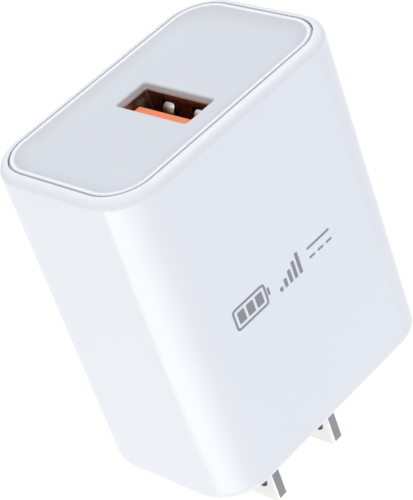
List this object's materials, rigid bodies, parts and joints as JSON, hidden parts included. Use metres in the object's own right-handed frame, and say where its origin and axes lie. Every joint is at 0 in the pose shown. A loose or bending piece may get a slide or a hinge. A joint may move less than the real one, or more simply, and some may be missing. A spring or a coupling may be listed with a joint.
{
  "type": "usb wall charger",
  "caption": "Rounded white wall charger with two flat mains blades below, a USB-A socket in a dished top panel, and its power supply inside.",
  "frame": {"origin": "centre of the flat outlet face, midway between the blades, where the charger meets the wall outlet", "axes": "+Z from the outlet face to the USB socket, +X along the long side of the housing, -Y out of the front face"},
  "size_m": [0.043, 0.027, 0.066],
  "materials": {
    "housing_plastic": "glossy moulded white",
    "panel_plastic": "fine satin moulded white",
    "plated_blade": "nickel plate over brass, drawn grain",
    "retainer_plastic": "natural nylon",
    "contact_bronze": "rolled phosphor bronze",
    "board_laminate": "green solder mask",
    "insulation_film": "translucent film",
    "fuse_body": "moulded",
    "choke_sleeve": "shrink sleeve",
    "chip_black": "moulded epoxy",
    "chip_ceramic": "fired ceramic",
    "capacitor_sleeve": "printed shrink sleeve, left plain",
    "capacitor_can": "drawn can",
    "ferrite": "sintered ferrite",
    "bobbin_plastic": "phenolic",
    "winding_tape": "yellow polyester tape",
    "disc_ceramic": "dipped epoxy",
    "shell_steel": "dark nickel-plated sheet",
    "spring_steel": "bright nickel-plated spring sheet",
    "tongue_orange": "orange thermoplastic",
    "contact_gold": "gold flash"
  },
  "bodies": {
    "charger": {"main_housing": "housing_plastic", "port_panel": "panel_plastic", "blade_left": "plated_blade", "blade_right": "plated_blade", "blade_retainer": "retainer_plastic", "mains_contact_left": "contact_bronze", "mains_contact_right": "contact_bronze", "main_board": "board_laminate", "insulation_sheet": "insulation_film", "fuse": "fuse_body", "filter_inductor": "choke_sleeve", "bridge_rectifier": "chip_black", "input_capacitor_1": "capacitor_sleeve", "input_capacitor_2": "capacitor_sleeve", "primary_controller": "chip_black", "power_transistor": "chip_black", "supply_capacitor": "capacitor_sleeve", "snubber_diode": "chip_black", "transformer_core_left": "ferrite", "transformer_core_right": "ferrite", "transformer_bobbin": "bobbin_plastic", "transformer_winding": "winding_tape", "y_capacitor": "disc_ceramic", "optocoupler": "chip_black", "sync_rectifier": "chip_black", "output_capacitor_1": "capacitor_can", "output_capacitor_2": "capacitor_can", "output_inductor": "ferrite", "port_controller": "chip_black", "chip_parts": "chip_ceramic", "usb_shell": "shell_steel", "usb_insulator": "tongue_orange", "usb_contact_tails": "contact_gold"},
    "usb_contact_1": {"usb_contact_1": "contact_gold"},
    "usb_contact_2": {"usb_contact_2": "contact_gold"},
    "usb_contact_3": {"usb_contact_3": "contact_gold"},
    "usb_contact_4": {"usb_contact_4": "contact_gold"},
    "usb_spring_1": {"usb_spring_1": "spring_steel"},
    "usb_spring_2": {"usb_spring_2": "spring_steel"},
    "usb_spring_3": {"usb_spring_3": "spring_steel"},
    "usb_spring_4": {"usb_spring_4": "spring_steel"}
  },
  "joints": [
    {"name": "usb_contact_1_flex", "type": "hinge", "parent": "charger", "child": "usb_contact_1", "pos_m": [-0.00075, 0.0035, 0.03865], "axis": [0, -1, 0], "range_deg": [0, 3.6], "stiffness_Nm_per_rad": 0.06},
    {"name": "usb_contact_2_flex", "type": "hinge", "parent": "charger", "child": "usb_contact_2", "pos_m": [-0.00075, 0.001, 0.03865], "axis": [0, -1, 0], "range_deg": [0, 3.6], "stiffness_Nm_per_rad": 0.06},
    {"name": "usb_contact_3_flex", "type": "hinge", "parent": "charger", "child": "usb_contact_3", "pos_m": [-0.00075, -0.001, 0.03865], "axis": [0, -1, 0], "range_deg": [0, 3.6], "stiffness_Nm_per_rad": 0.06},
    {"name": "usb_contact_4_flex", "type": "hinge", "parent": "charger", "child": "usb_contact_4", "pos_m": [-0.00075, -0.0035, 0.03865], "axis": [0, -1, 0], "range_deg": [0, 3.6], "stiffness_Nm_per_rad": 0.06},
    {"name": "usb_spring_1_flex", "type": "hinge", "parent": "charger", "child": "usb_spring_1", "pos_m": [0.00271, 0.00285, 0.04125], "axis": [0, 1, 0], "range_deg": [0, 4.5], "stiffness_Nm_per_rad": 0.135},
    {"name": "usb_spring_2_flex", "type": "hinge", "parent": "charger", "child": "usb_spring_2", "pos_m": [0.00271, -0.00285, 0.04125], "axis": [0, 1, 0], "range_deg": [0, 4.5], "stiffness_Nm_per_rad": 0.135},
    {"name": "usb_spring_3_flex", "type": "hinge", "parent": "charger", "child": "usb_spring_3", "pos_m": [-0.00271, 0.00285, 0.04125], "axis": [0, -1, 0], "range_deg": [0, 4.5], "stiffness_Nm_per_rad": 0.135},
    {"name": "usb_spring_4_flex", "type": "hinge", "parent": "charger", "child": "usb_spring_4", "pos_m": [-0.00271, -0.00285, 0.04125], "axis": [0, -1, 0], "range_deg": [0, 4.5], "stiffness_Nm_per_rad": 0.135}
  ]
}
